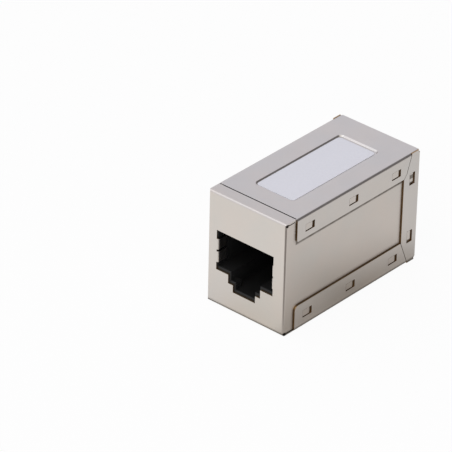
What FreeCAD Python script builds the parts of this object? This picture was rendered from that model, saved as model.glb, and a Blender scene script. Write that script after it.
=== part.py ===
"""Shielded inline coupler for two eight-way modular plugs, in millimetres.

Two folded metal shells hold a pair of jacks back to back under one circuit board. The front shell
is a front panel with two short flaps and two long side panels. The rear cover slides over it from
behind and snaps on to barbs of the side panels. The coupler lies along Y with its front port
facing -Y, and it stands on Z = 0.
"""
import FreeCAD, Part
import os
import re
import Sketcher

V = FreeCAD.Vector
CONTACTS = 8
WINDOWS = 3                    # snap windows along each flange
TAIL_ROWS = (("odd", 0, "tail_setback"), ("even", 1, "(tail_setback + tail_stagger)"))
doc = FreeCAD.newDocument("InlineCoupler")
sheet = doc.addObject("Spreadsheet::Sheet", "Sizes")

SIZES = {
    # Outer box and sheet metal
    "body_width": 16.6,        # over the side flanges of the cover
    "body_length": 32.8,
    "body_height": 20.6,
    "metal": 0.25,             # thickness of both shells
    "bend_radius": 0.15,       # inside radius of every fold
    "fit_gap": 0.05,           # clearance between pieces that slide together
    "seam_gap": 0.23,          # between the front flaps and the top and bottom of the cover
    # Front shell
    "flap_length": 2.38,       # front flaps at the top and the bottom
    "relief_width": 0.55,      # round relief holes at the folded corners
    "relief_inset": 0.34,
    "open_corner_inset": 0.17,  # holes at the corners where three folds of the cover meet
    # Rear cover
    "upper_flange": 4.05,
    "lower_flange": 4.5,
    "rear_flange": 4.0,
    "upper_corner": 0.35,
    "lower_corner": 0.8,
    "mitre_reach": 2.36,       # from the rear face to the mitred end of a flange at its fold
    "mitre_knee_drop": 3.3,    # the upper mitre turns where it nears the flange's edge
    "mitre_knee_reach": 3.41,
    "mitre_gap": 0.12,
    # Snap windows of the cover and the barbs of the front shell
    "window_length": 2.2,
    "window_height": 1.35,
    "window_inset": 1.65,      # from the outer face of the fold
    "window_first": 6.6,       # from the front face to the rear end of the first window
    "window_pitch": 10.63,
    "rear_window_inset": 1.25,
    "rear_window_pitch": 10.9,
    "rear_window_lift": 0.12,
    "barb_catch_gap": 0.03,    # at the edges that a barb snaps against
    "barb_side_gap": 0.25,
    "barb_end_gap": 0.52,
    "rear_barb_side_gap": 0.55,
    "barb_ramp": 0.12,
    # Port
    "port_offset": -0.28,
    "port_drop": 6.77,         # from the top of the shells to the top of the port
    "port_width": 11.86,
    "port_height": 7.29,
    "step_width": 6.74,        # the wider of the two steps for the plug's latch
    "step_height": 1.56,
    "key_width": 4.68,
    "key_height": 1.3,
    # Spring fingers of the port
    "finger_drop": 1.66,       # from the top of the port
    "finger_height": 1.96,
    "finger_slit": 0.36,
    "finger_bend": 0.35,       # outside radius
    "finger_reach": 2.0,
    "finger_travel": 0.25,     # room for the fingers when a plug spreads them
    # Label and its recess
    "label_shift": -0.04,
    "label_front": 6.5,
    "label_length": 20.35,
    "label_width": 7.7,
    "label_corner": 0.6,
    "label_thickness": 0.1,
    "recess_spare": 0.45,      # floor left free behind the label
    "recess_depth": 0.25,
    "recess_run": 0.25,        # of its sloping wall, seen from above
    # Jack housings
    "ceiling_inset": 0.05,     # from the port of the shell to the walls of the cavity
    "ledge_inset": 0.5,
    "step_inset": 0.3,
    "wall_inset": 0.06,
    "lead_in": 0.14,
    "latch_wall": 1.5,
    "cavity_depth": 13.0,
    "insert_wall": 0.9,
    # Contact inserts
    "insert_width": 12.6,
    "contact_relief": 0.65,
    "slab_thickness": 1.4,
    "rib_height": 0.7,
    "nose_setback": 2.25,
    "block_setback": 13.3,
    "tower_setback": 10.8,
    # Contacts
    "contact_pitch": 1.02,
    "contact_width": 0.4,
    "contact_thickness": 0.3,
    "contact_slope": 22,
    "contact_reach": 7.6,
    "tail_bend": 0.6,
    "tail_setback": 12.4,
    "tail_stagger": 1.9,
    "tail_length": 0.5,
    # Circuit board
    "board_thickness": 1.2,
    "board_gap": 0.4,          # from the side panels to the board
    "board_setback": 5.0,      # from the front and rear faces to the board
    "board_hole": 0.7,
    "tail_clearance": 0.25,    # from the contacts' tails to the recess over them
    "overshoot": 1.0,          # of a cut past the face that it runs out of
}

# Places worked out from the sizes. Y runs from the closed end of a shell towards its open end.
PLACES = {
    "fold": "metal + bend_radius",
    "closed_end": "-body_length / 2",
    "open_end": "body_length / 2",
    "half_width": "body_width / 2",
    "half_shell": "body_width / 2 - metal",
    "shell_depth": "body_length - fold - fit_gap",
    "cover_depth": "body_length - flap_length - fit_gap",
    "side_low": "metal + bend_radius + fit_gap / 2",
    "side_high": "body_height - metal - bend_radius - fit_gap / 2",
    "flange_end": "closed_end + cover_depth",
    "cover_top_end": "open_end - flap_length - seam_gap",
    "upper_edge": "body_height - upper_flange",
    "port_top": "body_height - port_drop",
    "port_floor": "port_top - port_height",
    "step_floor": "port_floor - step_height",
    "key_floor": "step_floor - key_height",
    "finger_top": "port_top - finger_drop",
    "finger_low": "finger_top - 2 * finger_height - finger_slit",
    "label_start": "closed_end + label_front",
    "recess_low": "label_start - fit_gap",
    "recess_high": "label_start + label_length + recess_spare",
    "recess_half": "label_width / 2 + fit_gap",
    "open_corner_width": "2 * (sqrt(2) * (fold - open_corner_inset) + fit_gap)",
    "through_panel": "2 * metal",
    "ceiling": "port_top - ceiling_inset",
    "recess_back": "body_height - metal - recess_depth",
    "tail_end": "recess_back - tail_clearance",
    "board_top": "tail_end - tail_length",
    "housing_top": "board_top - board_thickness",
    "half_board": "half_shell - metal - board_gap",
    "housing_face": "closed_end + metal",
    "nose": "closed_end + nose_setback",
    "slab_low": "ceiling + contact_relief",
    "slab_floor": "slab_low + slab_thickness",
    "slab_high": "slab_floor + rib_height",
    "run_level": "slab_floor + contact_thickness / 2",
    "wrap_radius": "slab_thickness / 2 + contact_thickness / 2",
}


def fill_sheet():
    """Put each driving size in the sheet as a plain number with its alias."""
    for row, (alias, number) in enumerate(SIZES.items(), start=1):
        sheet.set(f"A{row}", alias)
        sheet.set(f"B{row}", str(number))
        sheet.setAlias(f"B{row}", alias)
    doc.recompute()


def bound(text):
    """Write named sizes and places out as references to the cells of the sheet."""
    def swap(match):
        name = match.group()
        if name in PLACES:
            return f"({bound(PLACES[name])})"
        if name in SIZES:
            return f"Sizes.{name}"
        return name
    return re.sub(r"[a-z][a-z_]*", swap, text)


def value(text):
    """Work out an expression of named sizes and places."""
    return float(sheet.evalExpression(bound(text)))


# Sketches

def origin_part(body, role):
    return next(part for part in body.Origin.OriginFeatures if part.Role == role)


def new_sketch(body, name, role, offset="0"):
    """Sketch on an origin plane of the body, moved along the plane's normal by the offset."""
    sketch = body.newObject("Sketcher::SketchObject", name)
    sketch.AttachmentSupport = [(origin_part(body, role), "")]
    sketch.MapMode = "FlatFace"
    sketch.setExpression("AttachmentOffset.Base.z", bound(offset))
    return sketch


def pin(sketch, element, vertex, x, y):
    """Hold a vertex at a place given by two expressions."""
    for kind, text in (("DistanceX", x), ("DistanceY", y)):
        rule = Sketcher.Constraint(kind, -1, 1, element, vertex, value(text))
        number = sketch.addConstraint(rule)
        sketch.setExpression(f"Constraints[{number}]", bound(text))


def arc_between(start, end, radius, turn):
    """Arc shorter than a half turn, to the left for turn 1 and to the right for turn -1."""
    chord = end - start
    height = (radius ** 2 - chord.Length ** 2 / 4) ** 0.5
    left = V(-chord.y, chord.x, 0).normalize()
    centre = (start + end) / 2 + left * height * turn
    first, last = (start, end) if turn > 0 else (end, start)
    circle = Part.Circle(centre, V(0, 0, 1), radius)
    return Part.ArcOfCircle(circle, circle.parameter(first), circle.parameter(last))


def draw(sketch, corners, closed=True):
    """Draw lines and arcs through corners. A corner is (x, y), or (x, y, radius, turn) for an arc."""
    count = len(corners)
    spots = [V(value(corner[0]), value(corner[1]), 0) for corner in corners]
    steps = range(count) if closed else range(count - 1)
    previous = None
    first = None
    for step in steps:
        goal = corners[(step + 1) % count]
        start = spots[step]
        end = spots[(step + 1) % count]
        heads, tails = 1, 2
        if len(goal) == 4:
            radius, turn = goal[2], goal[3]
            if turn < 0:
                heads, tails = 2, 1
            element = sketch.addGeometry(arc_between(start, end, value(radius), turn), False)
            rule = Sketcher.Constraint("Radius", element, value(radius))
            number = sketch.addConstraint(rule)
            sketch.setExpression(f"Constraints[{number}]", bound(radius))
        else:
            element = sketch.addGeometry(Part.LineSegment(start, end), False)
        if previous:
            sketch.addConstraint(Sketcher.Constraint("Coincident", *previous, element, heads))
        pin(sketch, element, heads, corners[step][0], corners[step][1])
        previous = (element, tails)
        first = first or (element, heads)
    if closed:
        sketch.addConstraint(Sketcher.Constraint("Coincident", *previous, *first))
    else:
        pin(sketch, previous[0], previous[1], corners[-1][0], corners[-1][1])


def rectangle(sketch, x_low, y_low, x_high, y_high):
    draw(sketch, [(x_low, y_low), (x_high, y_low), (x_high, y_high), (x_low, y_high)])


def rounded_rectangle(sketch, x_low, y_low, x_high, y_high, radius):
    """Rectangle with round corners, drawn anticlockwise."""
    draw(sketch, [
        (f"{x_high} - {radius}", y_low), (x_high, f"{y_low} + {radius}", radius, 1),
        (x_high, f"{y_high} - {radius}"), (f"{x_high} - {radius}", y_high, radius, 1),
        (f"{x_low} + {radius}", y_high), (x_low, f"{y_high} - {radius}", radius, 1),
        (x_low, f"{y_low} + {radius}"), (f"{x_low} + {radius}", y_low, radius, 1)])


def circle(sketch, x, y, diameter):
    spot = V(value(x), value(y), 0)
    element = sketch.addGeometry(Part.Circle(spot, V(0, 0, 1), value(diameter) / 2), False)
    pin(sketch, element, 3, x, y)
    number = sketch.addConstraint(Sketcher.Constraint("Diameter", element, value(diameter)))
    sketch.setExpression(f"Constraints[{number}]", bound(diameter))


# Features

def new_body(label):
    body = doc.addObject("PartDesign::Body", label)
    body.Label = label
    return body


def pad(body, name, sketch, length, symmetric=False, reverse=False):
    feature = body.newObject("PartDesign::Pad", name)
    feature.Profile = sketch
    feature.setExpression("Length", bound(length))
    feature.Reversed = reverse
    if symmetric:
        feature.SideType = "Symmetric"
    doc.recompute()
    return feature


def cut(body, name, sketch, depth=None, symmetric=False, reverse=False):
    """Pocket that must take some material away. With no depth it goes right through."""
    before = body.Shape.Volume
    feature = body.newObject("PartDesign::Pocket", name)
    feature.Profile = sketch
    feature.Reversed = reverse
    if symmetric:
        feature.SideType = "Symmetric"
    if depth:
        feature.setExpression("Length", bound(depth))
    else:
        feature.Type = "ThroughAll"
    doc.recompute()
    if body.Shape.Volume > before - 1e-6:
        raise RuntimeError(f"{body.Label}: {name} cuts nothing")
    return feature


def cut_sides(body, name, outlines, face, depth):
    """Cut the same outlines into the right and left sides, from the face inwards."""
    for side, sign in (("right", ""), ("left", "-")):
        sketch = new_sketch(body, f"{name}_{side}_outline", "YZ_Plane", f"{sign}({face})")
        outlines(sketch)
        cut(body, f"{name}_{side}", sketch, depth, reverse=side == "left")


def row(body, name, feature, axis, spacing, copies):
    """Repeat a feature along an axis of the body."""
    pattern = body.newObject("PartDesign::LinearPattern", name)
    pattern.Originals = [feature]
    pattern.Direction = (origin_part(body, axis), [""])
    pattern.Mode = "Spacing"
    pattern.setExpression("Offset", bound(spacing))
    pattern.Occurrences = copies
    body.Tip = pattern
    doc.recompute()
    return pattern


def turn_round(body):
    body.Placement = FreeCAD.Placement(V(0, 0, 0), FreeCAD.Rotation(V(0, 0, 1), 180))


def edges_of(shape, wanted):
    """Names of the edges whose bounding box passes a test."""
    edges = enumerate(shape.Edges, start=1)
    return [f"Edge{number}" for number, edge in edges if wanted(edge.BoundBox)]


def near(first, second):
    return abs(first - second) < 1e-5


def folded_box(body, half, depth, long_folds):
    """Box of sheet metal, open at its +Y end, folded round its closed end and, if asked, along Y."""
    sketch = new_sketch(body, "blank_outline", "XZ_Plane", "-closed_end")
    rectangle(sketch, f"-{half}", "0", half, "body_height")
    pad(body, "blank", sketch, depth, reverse=True)
    sketch = new_sketch(body, "hollow_outline", "XZ_Plane", "-(closed_end + metal)")
    rectangle(sketch, f"metal - {half}", "metal", f"{half} - metal", "body_height - metal")
    hollow = cut(body, "hollow", sketch, f"{depth} - metal", reverse=False)
    for name, inset, radius in (("outer_folds", "0", "fold"), ("inner_folds", "metal", "bend_radius")):
        panel = value(f"closed_end + {inset}")
        side = value(f"{half} - {inset}")
        short = value("body_length / 2")

        def wanted(box):
            along = box.YLength > short and near(abs(box.XMin), side)
            return near(box.YMax, panel) or (long_folds and along)
        folds = body.newObject("PartDesign::Fillet", name)
        folds.Base = (hollow, edges_of(hollow.Shape, wanted))
        folds.setExpression("Radius", bound(radius))
        doc.recompute()
        hollow = folds


# The port, with its keyway and spring fingers

def port_outline(sketch, top="0", sides="0", steps="0", ledges="0"):
    """Stepped opening of a jack, less an inset: the plug's width above, the latch's steps below."""
    def edges(width, inset):
        half = f"({width} / 2 - {inset})"
        return f"port_offset - {half}", f"port_offset + {half}"
    left, right = edges("port_width", sides)
    step_left, step_right = edges("step_width", steps)
    key_left, key_right = edges("key_width", steps)
    ceiling = f"port_top - {top}"
    floor = f"port_floor + {ledges}"
    step = f"step_floor + {ledges}"
    key = f"key_floor + {ledges}"
    draw(sketch, [(left, ceiling), (left, floor), (step_left, floor), (step_left, step),
                  (key_left, step), (key_left, key), (key_right, key), (key_right, step),
                  (step_right, step), (step_right, floor), (right, floor), (right, ceiling)])


def cut_port(body):
    sketch = new_sketch(body, "port_outline", "XZ_Plane", "-closed_end")
    port_outline(sketch)
    cut(body, "port", sketch, "through_panel")


def bend_fingers(body):
    """Two spring fingers at each side of the port, bent inwards from the edge of the panel."""
    bend_end = "closed_end + finger_bend"
    tip = "closed_end + finger_reach"
    for place, low in (("low", "finger_low"), ("high", "finger_low + finger_height + finger_slit")):
        sketch = new_sketch(body, f"{place}_finger_profile", "XY_Plane", low)
        for outwards, inwards, turn in (("-", "+", -1), ("+", "-", 1)):
            root = f"port_offset {outwards} port_width / 2"
            front = f"{root} {inwards} finger_bend"
            back = f"{front} {outwards} metal"
            draw(sketch, [(root, "closed_end"), (front, bend_end, "finger_bend", -turn), (front, tip),
                          (back, tip), (back, bend_end),
                          (root, "closed_end + metal", "finger_bend - metal", turn)])
        pad(body, f"{place}_fingers", sketch, "finger_height")


# Front shell

def draw_barb(sketch, side, catch, end, turned):
    """Barb that stands out from a side panel: square where it catches, with a ramp at its end."""
    toward = "-" if turned else "+"
    corners = [("half_shell - metal / 2", catch), ("half_width", catch),
               ("half_width", f"{end} {toward} barb_ramp"), ("half_shell", end),
               ("half_shell - metal / 2", end)]
    draw(sketch, [(f"{side}({across})", along) for across, along in corners])


def rear_window_middle(step):
    """Height of the middle of the lower or upper window of a rear flange."""
    return f"body_height / 2 + rear_window_lift {step} rear_window_pitch / 2"


def make_front_shell():
    body = new_body("front_shell")
    folded_box(body, "half_shell", "shell_depth", long_folds=False)

    sketch = new_sketch(body, "behind_flaps_outline", "YZ_Plane")
    start = "closed_end + flap_length"
    rectangle(sketch, start, "side_high", "open_end", "body_height + overshoot")
    rectangle(sketch, start, "-overshoot", "open_end", "side_low")
    cut(body, "behind_flaps", sketch, symmetric=True)

    def seams(sketch):
        start = "closed_end + relief_inset"
        end = "closed_end + flap_length"
        rectangle(sketch, start, "side_high", end, "body_height - metal")
        rectangle(sketch, start, "metal", end, "side_low")
    cut_sides(body, "flap_seam", seams, "half_shell", "metal")

    def holes(sketch):
        circle(sketch, "closed_end + relief_inset", "body_height - relief_inset", "relief_width")
        circle(sketch, "closed_end + relief_inset", "relief_inset", "relief_width")
    cut_sides(body, "corner_relief", holes, "half_shell", "fold")

    cut_port(body)
    bend_fingers(body)

    catch = "closed_end + window_first - window_length + barb_catch_gap"
    end = "closed_end + window_first - barb_end_gap"
    height = "window_height - barb_side_gap - barb_catch_gap"
    levels = (("upper", "body_height - window_inset - window_height + barb_side_gap"),
              ("lower", "window_inset + barb_side_gap"))
    for place, low in levels:
        sketch = new_sketch(body, f"{place}_barb_profile", "XY_Plane", low)
        for side in ("", "-"):
            draw_barb(sketch, side, catch, end, turned=True)
        barbs = pad(body, f"{place}_barbs", sketch, height)
        row(body, f"{place}_barb_row", barbs, "Y_Axis", "window_pitch", WINDOWS)

    rear = "open_end - rear_window_inset - rear_barb_side_gap"
    sketch = new_sketch(body, "rear_barb_profile", "XZ_Plane", f"-({rear})")
    for step in ("-", "+"):
        middle = rear_window_middle(step)
        for side in ("", "-"):
            draw_barb(sketch, side, f"{middle} + window_length / 2 - barb_catch_gap",
                      f"{middle} - window_length / 2 + barb_end_gap", turned=False)
    pad(body, "rear_barbs", sketch, "window_height - rear_barb_side_gap - barb_catch_gap")
    return body


# Rear cover, drawn with its closed end at -Y and then turned round

def make_rear_cover():
    body = new_body("rear_cover")
    folded_box(body, "half_width", "cover_depth", long_folds=True)

    sketch = new_sketch(body, "panel_front_outline", "XY_Plane")
    rectangle(sketch, "fold - half_width", "cover_top_end", "half_width - fold", "open_end")
    cut(body, "panel_front", sketch, symmetric=True)

    sketch = new_sketch(body, "side_opening_outline", "YZ_Plane")
    start = "closed_end + rear_flange"
    draw(sketch, [
        (start, "lower_flange"), ("flange_end - lower_corner", "lower_flange"),
        ("flange_end", "lower_flange - lower_corner", "lower_corner", -1),
        ("open_end", "lower_flange - lower_corner"), ("open_end", "upper_edge + upper_corner"),
        ("flange_end", "upper_edge + upper_corner"),
        ("flange_end - upper_corner", "upper_edge", "upper_corner", -1), (start, "upper_edge")])
    cut(body, "side_opening", sketch, symmetric=True)

    square_flange_ends(body)

    def open_corners(sketch):
        reach = "closed_end + open_corner_inset"
        circle(sketch, reach, "body_height - open_corner_inset", "open_corner_width")
        circle(sketch, reach, "open_corner_inset", "open_corner_width")
    cut_sides(body, "open_corner", open_corners, "half_width", "fold")
    cut_sides(body, "mitre", mitre_slits, "half_width", "metal")
    cut_windows(body)
    press_recess(body)
    cut_port(body)
    bend_fingers(body)
    turn_round(body)
    return body


def square_flange_ends(body):
    """The rear flanges end square at the top and bottom, beside the folds of the other panels."""
    end = "closed_end + mitre_reach"
    start = "closed_end + fold"

    def corners(sketch):
        rectangle(sketch, start, "body_height - fold", end, "body_height + overshoot")
        rectangle(sketch, start, "-overshoot", end, "fold")
    cut_sides(body, "flange_end", corners, "half_width", "metal")
    for side, sign in (("right", ""), ("left", "-")):
        sketch = new_sketch(body, f"flange_end_{side}_fill", "YZ_Plane", f"{sign}(half_width)")
        rectangle(sketch, start, "body_height - fold - metal", end, "body_height")
        rectangle(sketch, start, "0", end, "fold + metal")
        pad(body, f"flange_end_square_{side}", sketch, "metal", reverse=side == "right")


def mitre_slits(sketch):
    """Slits between the rear flange and the ends of the upper and lower flanges."""
    opening = "rear_flange + 2 * mitre_gap"
    top = [("mitre_reach", "body_height + overshoot"), ("mitre_reach", "body_height - metal"),
           ("mitre_knee_reach", "body_height - mitre_knee_drop"), (opening, "upper_edge - metal")]
    bottom = [("mitre_reach", "-overshoot"), ("mitre_reach", "metal"),
              (opening, "lower_flange + metal")]
    for line in (top, bottom):
        near_side = [(f"closed_end + {reach}", level) for reach, level in line]
        far_side = [(f"closed_end + {reach} - mitre_gap", level) for reach, level in reversed(line)]
        draw(sketch, near_side + far_side)


def cut_windows(body):
    """Snap windows: a row in each upper and lower flange, and two in each rear flange."""
    start = "open_end - window_first"
    end = f"{start} + window_length"
    sketch = new_sketch(body, "window_outline", "YZ_Plane")
    rectangle(sketch, start, "window_inset", end, "window_inset + window_height")
    rectangle(sketch, start, "body_height - window_inset - window_height",
              end, "body_height - window_inset")
    windows = cut(body, "windows", sketch, symmetric=True)
    pattern = row(body, "window_row", windows, "Y_Axis", "window_pitch", WINDOWS)
    pattern.Reversed = True
    doc.recompute()
    sketch = new_sketch(body, "rear_window_outline", "YZ_Plane")
    for step in ("-", "+"):
        middle = rear_window_middle(step)
        start = "closed_end + rear_window_inset"
        rectangle(sketch, start, f"{middle} - window_length / 2",
                  f"{start} + window_height", f"{middle} + window_length / 2")
    cut(body, "rear_windows", sketch, symmetric=True)


def press_recess(body):
    """The top panel is pressed down a little where the label lies, with sloping walls."""
    def outline(sketch, run):
        rounded_rectangle(sketch, f"-label_shift - recess_half - {run}", f"-recess_high - {run}",
                          f"recess_half - label_shift + {run}", f"{run} - recess_low",
                          f"(label_corner + {run})")
    sketch = new_sketch(body, "recess_back_outline", "XY_Plane", "body_height - metal")
    outline(sketch, "recess_run")
    pad(body, "recess_back_sheet", sketch, "recess_depth", reverse=True)
    rim = new_sketch(body, "recess_rim", "XY_Plane", "body_height")
    outline(rim, "recess_run")
    floor = new_sketch(body, "recess_floor", "XY_Plane", "body_height - recess_depth")
    outline(floor, "0")
    recess = body.newObject("PartDesign::SubtractiveLoft", "recess")
    recess.Profile = rim
    recess.Sections = [floor]
    recess.Ruled = True
    doc.recompute()


def make_label():
    body = new_body("label")
    sketch = new_sketch(body, "label_outline", "XY_Plane", "body_height - recess_depth")
    rounded_rectangle(sketch, "label_shift - label_width / 2", "label_start",
                      "label_shift + label_width / 2", "label_start + label_length", "label_corner")
    pad(body, "label_sheet", sketch, "label_thickness")
    return body


# Jacks: housing, contact insert and contacts

def make_housing(label):
    """Moulded housing of a jack, with the plug cavity, the latch's recess and room for the insert."""
    body = new_body(label)
    sketch = new_sketch(body, "block_outline", "XZ_Plane", "-housing_face")
    half = "(half_shell - metal - fit_gap)"
    rectangle(sketch, f"-{half}", "metal", half, "housing_top")
    block = pad(body, "block", sketch, "-housing_face", reverse=True)
    face = value("housing_face")
    bevel = body.newObject("PartDesign::Chamfer", "front_bevel")
    bevel.Base = (block, edges_of(block.Shape, lambda box: near(box.YMax, face)))
    bevel.setExpression("Size", bound("bend_radius + fit_gap"))
    doc.recompute()

    sketch = new_sketch(body, "mouth_outline", "XZ_Plane", "-housing_face")
    port_outline(sketch, "ceiling_inset", "wall_inset", "step_inset", "ledge_inset")
    mouth = cut(body, "mouth", sketch, "latch_wall")
    margin = value("port_width / 2 - port_offset + lead_in")

    def lip(box):
        return near(box.YMax, face) and max(-box.XMin, box.XMax) < margin
    lips = body.newObject("PartDesign::Chamfer", "lead_in")
    lips.Base = (mouth, edges_of(mouth.Shape, lip))
    lips.setExpression("Size", bound("lead_in"))
    doc.recompute()

    sketch = new_sketch(body, "cavity_outline", "XZ_Plane", "-(housing_face + latch_wall)")
    wall = "(port_width / 2 - wall_inset)"
    latch = "(step_width / 2 - step_inset)"
    floor = "port_floor + ledge_inset"
    deep = "key_floor + ledge_inset"
    draw(sketch, [(f"port_offset - {wall}", "ceiling"), (f"port_offset - {wall}", floor),
                  (f"port_offset - {latch}", floor), (f"port_offset - {latch}", deep),
                  (f"port_offset + {latch}", deep), (f"port_offset + {latch}", floor),
                  (f"port_offset + {wall}", floor), (f"port_offset + {wall}", "ceiling")])
    cut(body, "cavity", sketch, "cavity_depth - latch_wall")

    sketch = new_sketch(body, "finger_room_outline", "XZ_Plane", "-housing_face")
    half = "(port_width / 2 + finger_travel)"
    rectangle(sketch, f"port_offset - {half}", "finger_low - fit_gap",
              f"port_offset + {half}", "finger_top + fit_gap")
    cut(body, "finger_room", sketch, "finger_reach")

    sketch = new_sketch(body, "insert_room_outline", "XZ_Plane")
    half = "(insert_width / 2 + fit_gap)"
    rectangle(sketch, f"port_offset - {half}", "ceiling",
              f"port_offset + {half}", "slab_high + fit_gap")
    cut(body, "insert_room", sketch, "-(housing_face + insert_wall)", reverse=True)
    sketch = new_sketch(body, "tower_room_outline", "XY_Plane", "housing_top")
    rectangle(sketch, f"port_offset - {half}", "closed_end + tower_setback - fit_gap",
              f"port_offset + {half}", "0")
    cut(body, "tower_room", sketch, "housing_top - slab_high")
    return body


def make_insert(label):
    """Moulded insert that carries the contacts: a slab with grooves, a rear block and a tower."""
    body = new_body(label)
    sketch = new_sketch(body, "side_profile", "YZ_Plane", "port_offset")
    nose_radius = "slab_thickness / 2 - fit_gap"
    middle = "slab_low + slab_thickness / 2"
    draw(sketch, [
        ("nose", "slab_low + fit_gap"),
        (f"nose - ({nose_radius})", middle, nose_radius, -1),
        ("nose", "slab_floor - fit_gap", nose_radius, -1),
        ("nose", "slab_high"), ("closed_end + tower_setback", "slab_high"),
        ("closed_end + tower_setback", "housing_top"), ("0", "housing_top"), ("0", "ceiling"),
        ("closed_end + block_setback", "ceiling"), ("closed_end + block_setback", "slab_low"),
        ("nose + metal", "slab_low"), ("nose + metal", "slab_low + fit_gap")])
    pad(body, "slab", sketch, "insert_width", symmetric=True)
    for name, first, setback in TAIL_ROWS:
        sketch = new_sketch(body, f"{name}_groove_outline", "XY_Plane", "slab_floor")
        middle = contact_place(first)
        half = "(contact_width / 2 + fit_gap)"
        rectangle(sketch, f"{middle} - {half}", "nose - overshoot",
                  f"{middle} + {half}", f"closed_end + {setback} + contact_thickness")
        groove = cut(body, f"{name}_groove", sketch, reverse=True)
        row(body, f"{name}_grooves", groove, "X_Axis", "2 * contact_pitch", CONTACTS // 2)
    return body


def contact_place(index):
    """X of a contact, counted from the left as the plug comes."""
    return f"port_offset + ({index} - {(CONTACTS - 1) / 2}) * contact_pitch"


def make_contact(label, index):
    """Spring contact: a tail up into the board, a run along the insert, and the sprung wire."""
    body = new_body(label)
    middle = contact_place(index)
    back = "closed_end + tail_setback" if index % 2 == 0 else "closed_end + tail_setback + tail_stagger"
    turn_middle = "(slab_low + slab_thickness / 2)"
    front = "nose - wrap_radius * sin(contact_slope)"
    under = f"{turn_middle} - wrap_radius * cos(contact_slope)"
    path = new_sketch(body, "path", "YZ_Plane", middle)
    draw(path, [
        (back, "tail_end"), (back, "run_level + tail_bend"),
        (f"{back} - tail_bend", "run_level", "tail_bend", -1), ("nose", "run_level"),
        ("nose - wrap_radius", turn_middle, "wrap_radius", 1),
        (front, under, "wrap_radius", 1),
        (f"{front} + contact_reach * cos(contact_slope)",
         f"{under} - contact_reach * sin(contact_slope)")], closed=False)
    section = new_sketch(body, "section", "XY_Plane", "tail_end")
    rectangle(section, f"{middle} - contact_width / 2", f"{back} - contact_thickness / 2",
              f"{middle} + contact_width / 2", f"{back} + contact_thickness / 2")
    wire = body.newObject("PartDesign::AdditivePipe", "wire")
    wire.Profile = section
    wire.Spine = path
    doc.recompute()
    return body


def make_board():
    """Board over both jacks. It crosses the contacts over from one jack to the other."""
    body = new_body("circuit_board")
    sketch = new_sketch(body, "board_outline", "XY_Plane", "housing_top")
    end = "closed_end + board_setback"
    rectangle(sketch, "-half_board", end, "half_board", f"-({end})")
    pad(body, "board", sketch, "board_thickness")
    for end, sign in (("front", ""), ("rear", "-")):
        for name, first, setback in TAIL_ROWS:
            sketch = new_sketch(body, f"{end}_{name}_hole_outline", "XY_Plane", "board_top")
            circle(sketch, f"{sign}({contact_place(first)})", f"{sign}(closed_end + {setback})",
                   "board_hole")
            hole = cut(body, f"{end}_{name}_hole", sketch)
            pattern = row(body, f"{end}_{name}_holes", hole, "X_Axis", "2 * contact_pitch",
                          CONTACTS // 2)
            pattern.Reversed = end == "rear"
            doc.recompute()
    return body


def check_and_export(bodies):
    """Stop on any failed feature or bad shape, then write each piece as a STEP file."""
    doc.recompute()
    for item in doc.Objects:
        if "Invalid" in item.State or "Error" in item.State:
            raise RuntimeError(f"{item.Label} failed: {item.State}")
    for body in bodies:
        shape = body.Shape
        if shape.isNull() or not shape.isValid() or len(shape.Solids) != 1:
            raise RuntimeError(f"{body.Label} is not one valid solid")
    os.makedirs("parts", exist_ok=True)
    for body in bodies:
        body.Shape.exportStep(f"parts/{body.Label}.step")


fill_sheet()
pieces = [make_front_shell(), make_rear_cover(), make_label(), make_board()]
for end in ("front", "rear"):
    jack = [make_housing(f"{end}_jack_housing"), make_insert(f"{end}_contact_insert")]
    for index in range(CONTACTS):
        jack.append(make_contact(f"{end}_contact_{index + 1}", index))
    if end == "rear":
        for piece in jack:
            turn_round(piece)
    pieces += jack
check_and_export(pieces)
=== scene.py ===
"""Looks of the shielded inline coupler: satin nickel shells, brass cut edges, black jacks, bare label."""
import bpy
import math
from mathutils import Matrix, Vector


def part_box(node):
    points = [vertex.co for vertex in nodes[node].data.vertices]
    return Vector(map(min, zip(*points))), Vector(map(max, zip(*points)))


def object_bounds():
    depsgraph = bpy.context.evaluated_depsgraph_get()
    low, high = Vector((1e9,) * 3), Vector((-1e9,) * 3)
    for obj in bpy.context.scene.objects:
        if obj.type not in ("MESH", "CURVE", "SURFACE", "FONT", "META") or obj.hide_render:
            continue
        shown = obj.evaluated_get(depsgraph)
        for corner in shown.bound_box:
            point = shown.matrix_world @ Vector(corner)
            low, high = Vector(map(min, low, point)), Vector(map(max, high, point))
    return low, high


MM = 0.001

# Places on the coupler
SHEET = 0.25 * MM                   # thickness of both shells
UPPER_FLANGE = 4.05 * MM            # depth of the cover's upper side flanges, from the top
FLANGE_FRONT = -13.98 * MM          # where the side flanges start, behind the front face
HOUSING_TO_FLANGE = 0.32 * MM       # from a jack housing's side to just past the flanges' inner face
PORT_HALF_WIDTH = 7 * MM            # the port's edges and fingers lie within these
PORT_BOTTOM, PORT_TOP = 3 * MM, 14.5 * MM

# Places and directions in the studio
FLOOR_SIZE = 4
FLOOR_GAP = 0.05 * MM               # from the floor up to the coupler
KEY_PLACE = (0.38, -0.50, 0.78)
LEFT_BOX_PLACE = (-0.56, -0.42, 0.71)
LAMP_TARGET = (0, 0, 10 * MM)
DARK_CORNER = (0.52, 0.65, 0.56)
SURROUND_STRENGTH = 0.78

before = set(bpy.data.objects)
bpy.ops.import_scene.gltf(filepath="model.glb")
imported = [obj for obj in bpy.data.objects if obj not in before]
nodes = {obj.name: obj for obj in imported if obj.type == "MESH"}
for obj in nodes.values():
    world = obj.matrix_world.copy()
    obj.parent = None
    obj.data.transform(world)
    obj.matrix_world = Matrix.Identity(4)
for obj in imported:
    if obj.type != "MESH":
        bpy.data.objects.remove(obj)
cad_low, cad_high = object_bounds()


# Node helpers

def rgb(red, green, blue):
    return (red, green, blue, 1.0)


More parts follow.
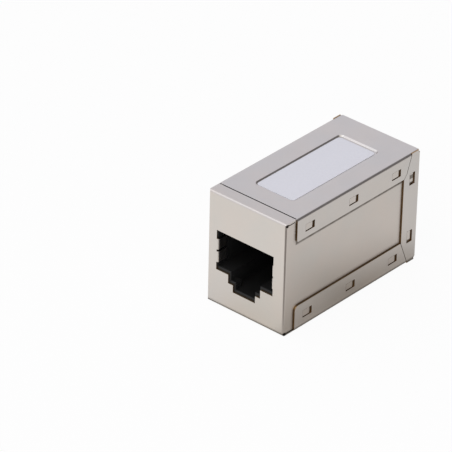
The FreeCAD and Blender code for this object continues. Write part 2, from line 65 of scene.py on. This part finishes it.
def grey(level):
    return rgb(level, level, level)


class Nodes:
    """Short calls for the nodes and links of one material or world."""

    def __init__(self, owner, output):
        owner.use_nodes = True
        self.tree = owner.node_tree
        self.tree.nodes.clear()
        self.output = self.tree.nodes.new(output)

    def add(self, kind, inputs=None, **settings):
        """New node. Its inputs go by name or number, and each is a value or another node's socket."""
        node = self.tree.nodes.new(kind)
        for name, setting in settings.items():
            setattr(node, name, setting)
        for name, source in (inputs or {}).items():
            self.feed(node.inputs[name], source)
        return node

    def feed(self, socket, source):
        """Link an input to another node's socket, or set its value."""
        if isinstance(source, bpy.types.NodeSocket):
            self.tree.links.new(source, socket)
        else:
            socket.default_value = source

    def show(self, shader):
        """Wire a shader to the output."""
        self.feed(self.output.inputs["Surface"], shader.outputs[0])

    def spread(self, value, low, high, start=0.3, end=0.7, **settings):
        """Go from low to high as a number goes from start to end, and no further."""
        node = self.add("ShaderNodeMapRange", {"Value": value, "From Min": start, "From Max": end,
                                               "To Min": low, "To Max": high}, **settings)
        return node.outputs["Result"]

    def math(self, operation, *values):
        return self.add("ShaderNodeMath", dict(enumerate(values)), operation=operation).outputs[0]

    def product(self, first, *others):
        """Multiply two or more numbers."""
        for other in others:
            first = self.math("MULTIPLY", first, other)
        return first

    def axes(self, vector):
        """The X, Y and Z of a vector, by name."""
        return self.add("ShaderNodeSeparateXYZ", {0: vector}).outputs


class Material(Nodes):
    """A node material with short calls for its place, grain and colours."""

    def __init__(self, name):
        self.data = bpy.data.materials.new(name)
        super().__init__(self.data, "ShaderNodeOutputMaterial")

    def place(self):
        return self.add("ShaderNodeTexCoord").outputs["Object"]

    def noise(self, scale, detail, stretch=(1, 1, 1)):
        """Noise of a size given in cells a metre, as a number from 0 to 1."""
        spot = self.add("ShaderNodeMapping", {"Vector": self.place(), "Scale": stretch}).outputs[0]
        return self.add("ShaderNodeTexNoise", {"Vector": spot, "Scale": scale, "Detail": detail}).outputs["Fac"]

    def blend(self, share, first, second):
        """Mix two colours."""
        node = self.add("ShaderNodeMix", {"Factor": share, "A": first, "B": second}, data_type="RGBA")
        return node.outputs["Result"]

    def bump(self, height, distance, strength):
        node = self.add("ShaderNodeBump", {"Height": height, "Distance": distance, "Strength": strength})
        return node.outputs["Normal"]

    def principled(self, **inputs):
        """Show a principled shader, and give the material. Names of inputs have _ for their spaces."""
        named = {name.replace("_", " "): source for name, source in inputs.items()}
        self.show(self.add("ShaderNodeBsdfPrincipled", named))
        return self.data


# Materials

def flange_shadow_line(made, spot):
    """Share of painted shadow on the shell's side panels, in a line below the edges of the cover's upper
    flanges.
    """
    edge = cad_high.z - UPPER_FLANGE
    line = made.spread(spot["Z"], 0, 0.9, edge - 0.68 * MM, edge - 0.5 * MM)
    out = made.math("ABSOLUTE", spot["X"])
    on_panel = made.spread(out, 0, 1, cad_high.x - 0.4 * MM, cad_high.x - 0.3 * MM)
    beside = made.spread(spot["Y"], 0, 1, FLANGE_FRONT - 0.1 * MM, FLANGE_FRONT + 0.05 * MM)
    uneven = made.spread(made.noise(900, 2), 0.75, 1)
    under = made.spread(spot["Z"], 1, 0, edge + 0.1 * MM, edge + 0.2 * MM)
    return made.product(line, on_panel, beside, uneven, under)


def bend_dark_reflection(made):
    """Share of painted dark reflection on the cover's long bends, from its level panels into its side flanges.
    """
    facing = made.axes(made.add("ShaderNodeTexCoord").outputs["Normal"])
    turn = made.math("ABSOLUTE", made.product(facing["X"], facing["Z"]))
    return made.spread(turn, 0, 0.6, 0.15, 0.45)


def nickel_plate(name, warm, cool, on_cover):
    """Satin nickel plate: soft warm and cool clouds, a fine grain, and painted shade along the seams.

    The cover has a painted dark reflection on its long bends, and the front shell has a painted shadow line
    below the cover's upper flanges.
    """
    bend_reflection_tone, shade_tone = rgb(0.27, 0.225, 0.19), rgb(0.10, 0.085, 0.07)
    made = Material(name)
    spot = made.axes(made.place())
    tint = made.blend(made.spread(made.noise(180, 3), 0, 1), warm, cool)
    # Painted shade: the plate is darkened in seams and creases where ambient occlusion is low, and kept off the
    # top face.
    shelter = made.add("ShaderNodeAmbientOcclusion", {"Distance": 0.8 * MM}, samples=8)
    painted_shade = made.spread(shelter.outputs["AO"], 0.85, 0, 0.78, 0.965)
    below_top = made.spread(spot["Z"], 1, 0, cad_high.z - 0.7 * MM, cad_high.z - 0.45 * MM)
    painted_shade = made.product(painted_shade, below_top)
    if on_cover:
        # Painted dark reflection: the cover's long bends are darkened by their facing.
        tint = made.blend(bend_dark_reflection(made), tint, bend_reflection_tone)
    else:
        # Painted shadow: a dark line on the side panels below the edges of the cover's upper flanges.
        painted_shade = made.math("MAXIMUM", painted_shade, flange_shadow_line(made, spot))
    tint = made.blend(painted_shade, tint, shade_tone)
    grain = made.noise(9000, 2)
    rough = made.spread(made.noise(420, 4), 0.29, 0.35)
    return made.principled(Base_Color=tint, Metallic=1.0, Roughness=rough,
                           Normal=made.bump(grain, 0.004 * MM, 0.4))


def cut_brass(name):
    """Bare cut edge of the plated brass sheet, with fine shear lines."""
    made = Material(name)
    lines = made.noise(4000, 2, stretch=(1, 1, 0.2))
    tint = made.blend(made.spread(lines, 0, 1), rgb(0.36, 0.225, 0.11), rgb(0.52, 0.34, 0.165))
    return made.principled(Base_Color=tint, Metallic=1.0, Roughness=0.42,
                           Normal=made.bump(lines, 0.01 * MM, 0.5))


def label_film(name):
    """Pale, slightly blue film with a fine fibre."""
    made = Material(name)
    fibre = made.noise(2600, 3)
    tint = made.blend(made.spread(fibre, 0, 1), rgb(0.73, 0.735, 0.79), rgb(0.755, 0.76, 0.815))
    return made.principled(Base_Color=tint, Roughness=0.42, Normal=made.bump(fibre, 0.006 * MM, 0.3))


def moulded_plastic(name, dark, light, rough):
    """Black moulding with cloudy greys and a fine grain."""
    made = Material(name)
    grain = made.noise(6000, 3)
    tint = made.blend(made.spread(made.noise(300, 2), 0, 1), grey(dark), grey(light))
    return made.principled(Base_Color=tint, Roughness=made.spread(grain, rough - 0.05, rough + 0.06),
                           Specular_IOR_Level=0.22, Normal=made.bump(grain, 0.008 * MM, 0.4))


def gold_plate(name):
    """Satin gold of the contacts."""
    made = Material(name)
    grain = made.noise(5000, 2)
    return made.principled(Base_Color=rgb(0.78, 0.53, 0.2), Metallic=1.0,
                           Roughness=made.spread(grain, 0.26, 0.36),
                           Normal=made.bump(grain, 0.003 * MM, 0.3))


def board_mask(name):
    """Green solder mask with the board's weave under it."""
    made = Material(name)
    weave = made.noise(2200, 2)
    tint = made.blend(made.spread(weave, 0, 1), rgb(0.01, 0.07, 0.03), rgb(0.015, 0.10, 0.045))
    return made.principled(Base_Color=tint, Roughness=0.3, Normal=made.bump(weave, 0.01 * MM, 0.4))


def is_cut_edge(face, flange_inside):
    """Is a face of a shell a cut edge of the sheet, in the cover's side flanges or around a port?"""
    middle, normal = face.center, face.normal
    in_flange = abs(middle.x) > flange_inside and abs(normal.x) < 0.1
    in_end_panel = abs(middle.y) > cad_high.y - SHEET and abs(normal.y) < 0.02
    near_port = abs(middle.x) < PORT_HALF_WIDTH and PORT_BOTTOM < middle.z < PORT_TOP
    return in_flange or (in_end_panel and near_port)


def dress(node, *materials):
    slots = nodes[node].data.materials
    slots.clear()
    for material in materials:
        slots.append(material)


def dress_nodes():
    """Give each node its material, and the shells a second one for their cut edges."""
    shell_plate = nickel_plate("satin_nickel_shell", rgb(0.705, 0.66, 0.625), rgb(0.675, 0.655, 0.63),
                               on_cover=False)
    cover_plate = nickel_plate("satin_nickel_cover", rgb(0.71, 0.68, 0.655), rgb(0.68, 0.67, 0.66),
                               on_cover=True)
    brass = cut_brass("cut_edge_brass")
    flange_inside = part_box("front_jack_housing")[1].x + HOUSING_TO_FLANGE
    for node, plate in (("front_shell", shell_plate), ("rear_cover", cover_plate)):
        dress(node, plate, brass)
        for face in nodes[node].data.polygons:
            face.material_index = int(is_cut_edge(face, flange_inside))
    dress("label", label_film("label_film"))
    black = moulded_plastic("black_housing", 0.011, 0.016, rough=0.34)
    insert = moulded_plastic("black_insert", 0.013, 0.019, rough=0.5)
    gold = gold_plate("gold_contact")
    dress("circuit_board", board_mask("board_mask"))
    for node in nodes:
        if node.endswith("jack_housing"):
            dress(node, black)
        elif node.endswith("contact_insert"):
            dress(node, insert)
        elif "_contact_" in node:
            dress(node, gold)


# Stage, light and camera

def floor_painted_shadow(made, spot):
    """The floor's tone as metal sees it, with a painted shadow: warmer and darker close to the coupler, and
    darkest at its right.
    """
    front_near, front_left = rgb(0.76, 0.71, 0.645), rgb(0.82, 0.805, 0.785)
    front_far = rgb(0.945, 0.92, 0.885)
    right_near, right_far = rgb(0.23, 0.185, 0.14), rgb(0.725, 0.695, 0.665)
    corner_tone = rgb(0.17, 0.145, 0.12)

    beyond = []                     # how far a spot lies past the footprint's sides and ends
    for axis, reach in (("X", cad_high.x), ("Y", cad_high.y)):
        outside = made.math("SUBTRACT", made.math("ABSOLUTE", spot[axis]), reach)
        beyond.append(made.math("MAXIMUM", outside, 0))
    away = made.math("SQRT", made.math("ADD", *(made.product(length, length) for length in beyond)))
    far = made.spread(away, 0, 1, 0, 15.5 * MM)

    left = made.spread(spot["X"], 1, 0, -9 * MM, -2 * MM)
    front_tone = made.blend(far, made.blend(left, front_near, front_left), front_far)

    to_rear = made.spread(spot["Y"], 0, 0.55, 2 * MM, 24 * MM)
    to_front = made.spread(spot["Y"], 0.2, 0, -13 * MM, 0)
    far_right = made.math("MINIMUM", made.math("ADD", made.math("ADD", far, to_rear), to_front), 1)
    right_tone = made.blend(far_right, right_near, right_far)

    right = made.spread(spot["X"], 0, 1, 5 * MM, 9.5 * MM)
    past_side = made.spread(spot["X"], 0, 1, 8.5 * MM, 12 * MM)
    past_front = made.spread(spot["Y"], 1, 0, -21 * MM, -17 * MM)
    tone = made.blend(right, front_tone, right_tone)
    return made.blend(made.product(past_side, past_front), tone, corner_tone)


def make_floor():
    """White floor that keeps a soft shadow, and that metal sees with a painted shadow close to the coupler."""
    bpy.ops.mesh.primitive_plane_add(size=FLOOR_SIZE, location=(0, 0, -FLOOR_GAP))
    floor = bpy.context.object
    floor.name = "floor"
    made = Material("floor_white")
    path = made.add("ShaderNodeLightPath").outputs
    straight = made.math("MAXIMUM", path["Is Camera Ray"], path["Is Transmission Ray"])
    # Metal sees the floor with a painted shadow, darker and warmer close to the coupler. The camera sees it
    # white.
    tone = made.blend(straight, floor_painted_shadow(made, made.axes(made.place())), grey(1))
    glow = made.add("ShaderNodeEmission", {"Color": tone, "Strength": 1.0})
    paint = made.add("ShaderNodeBsdfDiffuse", {"Color": grey(0.9)})
    glowing = made.math("MAXIMUM", straight, path["Is Glossy Ray"])
    # The paint's share keeps the shadow. The camera sees a little less of it than metal does.
    share = made.product(glowing, made.spread(straight, 0.86, 0.93, 0, 1))
    made.show(made.add("ShaderNodeMixShader", {0: share, 1: paint.outputs[0], 2: glow.outputs[0]}))
    floor.data.materials.append(made.data)


def make_world():
    """Even studio surround, dim in one corner up to the right and behind, and behind the key lamp."""
    world = bpy.data.worlds.new("studio")
    bpy.context.scene.world = world
    made = Nodes(world, "ShaderNodeOutputWorld")
    direction = made.add("ShaderNodeTexCoord").outputs["Generated"]

    def fade(towards, start, end, low):
        """From 1 down to a low share as the direction nears the middle of a dim patch."""
        nearness = made.add("ShaderNodeVectorMath", {0: direction, 1: Vector(towards).normalized()},
                            operation="DOT_PRODUCT")
        return made.spread(nearness.outputs["Value"], 1, low, start, end, interpolation_type="SMOOTHSTEP")

    patches = made.product(fade(DARK_CORNER, start=0.5, end=0.86, low=0.34),
                           fade(KEY_PLACE, start=0.6, end=0.85, low=0.15))
    surround = made.add("ShaderNodeBackground", {"Color": rgb(0.985, 0.965, 1.02),
                                                 "Strength": made.product(patches, SURROUND_STRENGTH)})
    white = made.add("ShaderNodeBackground", {"Color": grey(1)})
    seen = made.add("ShaderNodeLightPath").outputs["Is Camera Ray"]
    made.show(made.add("ShaderNodeMixShader", {0: seen, 1: surround.outputs[0], 2: white.outputs[0]}))


def make_lamp(name, place, size, power):
    """Square soft box that faces the coupler."""
    data = bpy.data.lights.new(name, "AREA")
    data.shape = "SQUARE"
    data.size = size
    data.energy = power
    lamp = bpy.data.objects.new(name, data)
    bpy.context.scene.collection.objects.link(lamp)
    lamp.location = place
    lamp.rotation_euler = (Vector(LAMP_TARGET) - Vector(place)).to_track_quat("-Z", "Y").to_euler()


def make_camera():
    """Long lens that looks down at the front and right of the coupler."""
    azimuth, elevation, roll = (math.radians(angle) for angle in (40.813, 31.428, 1.341))
    pivot = Vector((0, 0, 10 * MM))
    shift_right, shift_up, distance = 14.013 * MM, 0.12 * MM, 627.1 * MM
    ahead = Vector((-math.sin(azimuth) * math.cos(elevation),
                    math.cos(azimuth) * math.cos(elevation), -math.sin(elevation)))
    level = Vector((math.cos(azimuth), math.sin(azimuth), 0))
    upright = level.cross(ahead)
    right = level * math.cos(roll) + upright * math.sin(roll)
    up = upright * math.cos(roll) - level * math.sin(roll)
    data = bpy.data.cameras.new("camera")
    data.lens = 311.5
    data.sensor_width = 36
    data.clip_start = 10 * MM
    camera = bpy.data.objects.new("camera", data)
    bpy.context.scene.collection.objects.link(camera)
    turn = Matrix((right, up, -ahead)).transposed().to_4x4()
    spot = pivot - right * shift_right - up * shift_up - ahead * distance
    camera.matrix_world = Matrix.Translation(spot) @ turn
    bpy.context.scene.camera = camera


dress_nodes()
make_floor()
make_world()
make_lamp("key", KEY_PLACE, size=1.5, power=8.9)
make_lamp("left_box", LEFT_BOX_PLACE, size=0.9, power=1.0)
make_camera()
bpy.context.scene.view_settings.view_transform = "Standard"
